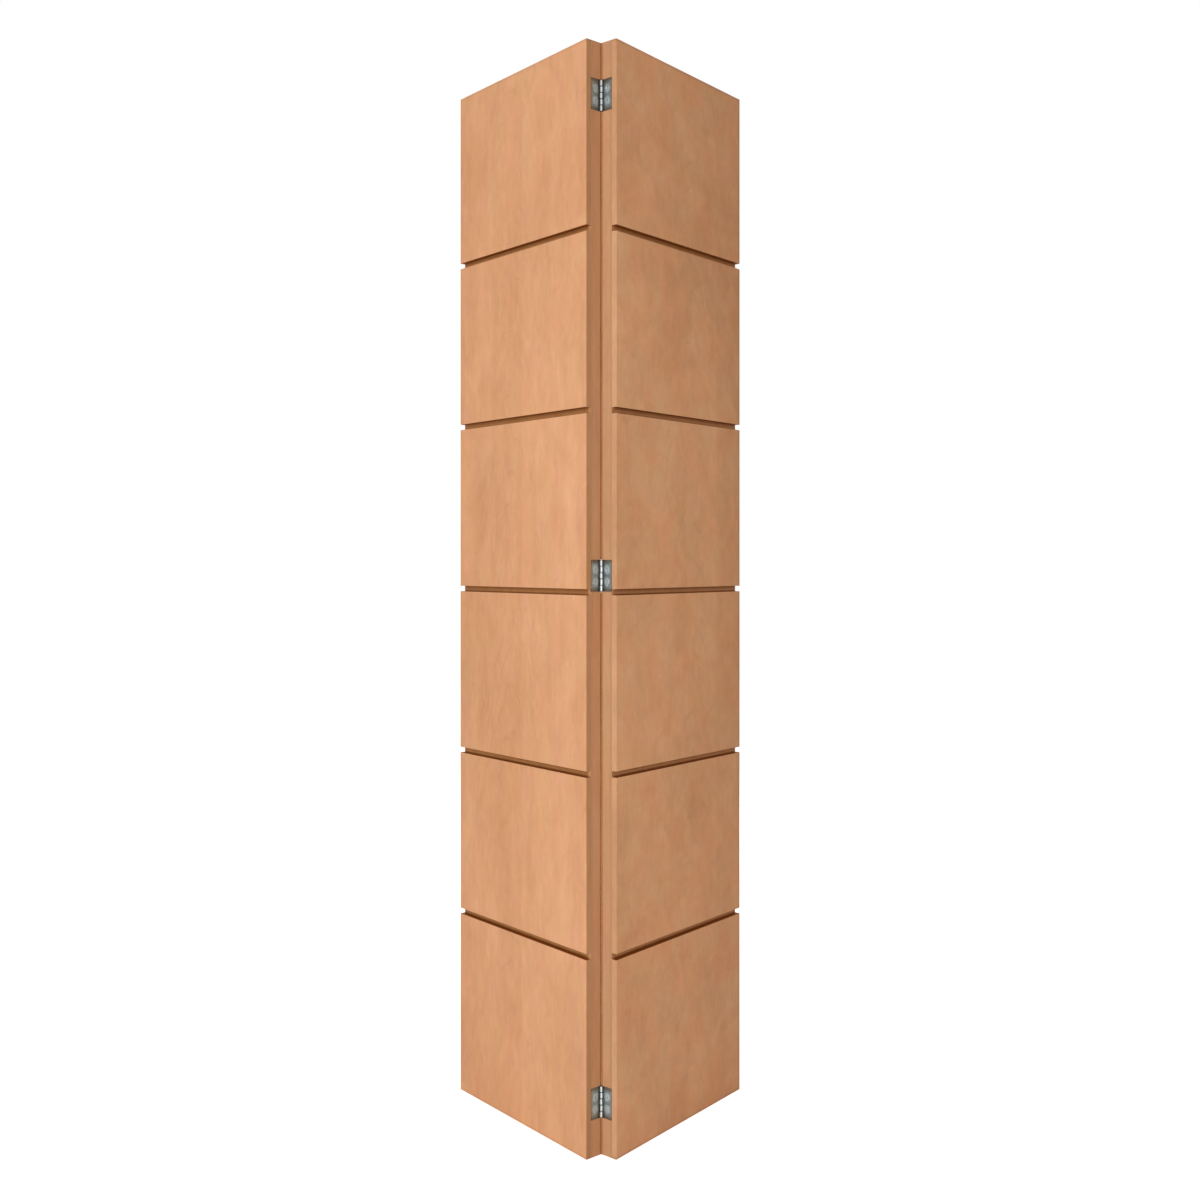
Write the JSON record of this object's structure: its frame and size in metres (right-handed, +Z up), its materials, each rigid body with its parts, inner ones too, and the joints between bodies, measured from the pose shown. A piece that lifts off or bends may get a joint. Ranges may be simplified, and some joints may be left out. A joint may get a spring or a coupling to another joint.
{
  "type": "bifold closet door",
  "caption": "Two-panel folding closet door with a flush veneered face cut by horizontal grooves, joined along its meeting edges by butt hinges.",
  "frame": {"origin": "on the floor, at the centre of the folded door's bounding box", "axes": "+Z up the door, -Y towards the viewer of the folded V (the meeting edges and the faces), +X to the viewer's right"},
  "size_m": [0.5654, 0.3294, 2.007],
  "materials": {
    "face_veneer": "unfinished maple or birch veneer, vertical grain, fine sanded",
    "skin_veneer": "veneered fibreboard skin, sanded, with a brown raw edge",
    "frame_timber": "planed softwood",
    "core_paper": "kraft paper honeycomb",
    "zinc_plate": "bright zinc plated steel, satin",
    "screw_zinc": "bright zinc plated steel"
  },
  "bodies": {
    "left_panel": {"left_face_board_1": "face_veneer", "left_face_board_2": "face_veneer", "left_face_board_3": "face_veneer", "left_face_board_4": "face_veneer", "left_face_board_5": "face_veneer", "left_face_board_6": "face_veneer", "left_front_skin": "skin_veneer", "left_back_skin": "skin_veneer", "left_hinge_stile": "frame_timber", "left_outer_stile": "frame_timber", "left_top_rail": "frame_timber", "left_bottom_rail": "frame_timber", "left_honeycomb_core": "core_paper", "top_hinge_left_leaf": "zinc_plate", "top_hinge_left_upper_screw": "screw_zinc", "top_hinge_left_lower_screw": "screw_zinc", "top_hinge_pin": "zinc_plate", "middle_hinge_left_leaf": "zinc_plate", "middle_hinge_left_upper_screw": "screw_zinc", "middle_hinge_left_lower_screw": "screw_zinc", "middle_hinge_pin": "zinc_plate", "bottom_hinge_left_leaf": "zinc_plate", "bottom_hinge_left_upper_screw": "screw_zinc", "bottom_hinge_left_lower_screw": "screw_zinc", "bottom_hinge_pin": "zinc_plate"},
    "right_panel": {"right_face_board_1": "face_veneer", "right_face_board_2": "face_veneer", "right_face_board_3": "face_veneer", "right_face_board_4": "face_veneer", "right_face_board_5": "face_veneer", "right_face_board_6": "face_veneer", "right_front_skin": "skin_veneer", "right_back_skin": "skin_veneer", "right_hinge_stile": "frame_timber", "right_outer_stile": "frame_timber", "right_top_rail": "frame_timber", "right_bottom_rail": "frame_timber", "right_honeycomb_core": "core_paper", "top_hinge_right_leaf": "zinc_plate", "top_hinge_right_upper_screw": "screw_zinc", "top_hinge_right_lower_screw": "screw_zinc", "middle_hinge_right_leaf": "zinc_plate", "middle_hinge_right_upper_screw": "screw_zinc", "middle_hinge_right_lower_screw": "screw_zinc", "bottom_hinge_right_leaf": "zinc_plate", "bottom_hinge_right_upper_screw": "screw_zinc", "bottom_hinge_right_lower_screw": "screw_zinc"}
  },
  "joints": [
    {"name": "fold", "type": "hinge", "parent": "left_panel", "child": "right_panel", "pos_m": [0, -0.1426, 1.0035], "axis": [0, 0, 1], "range_deg": [-100.4, 79.6]}
  ]
}
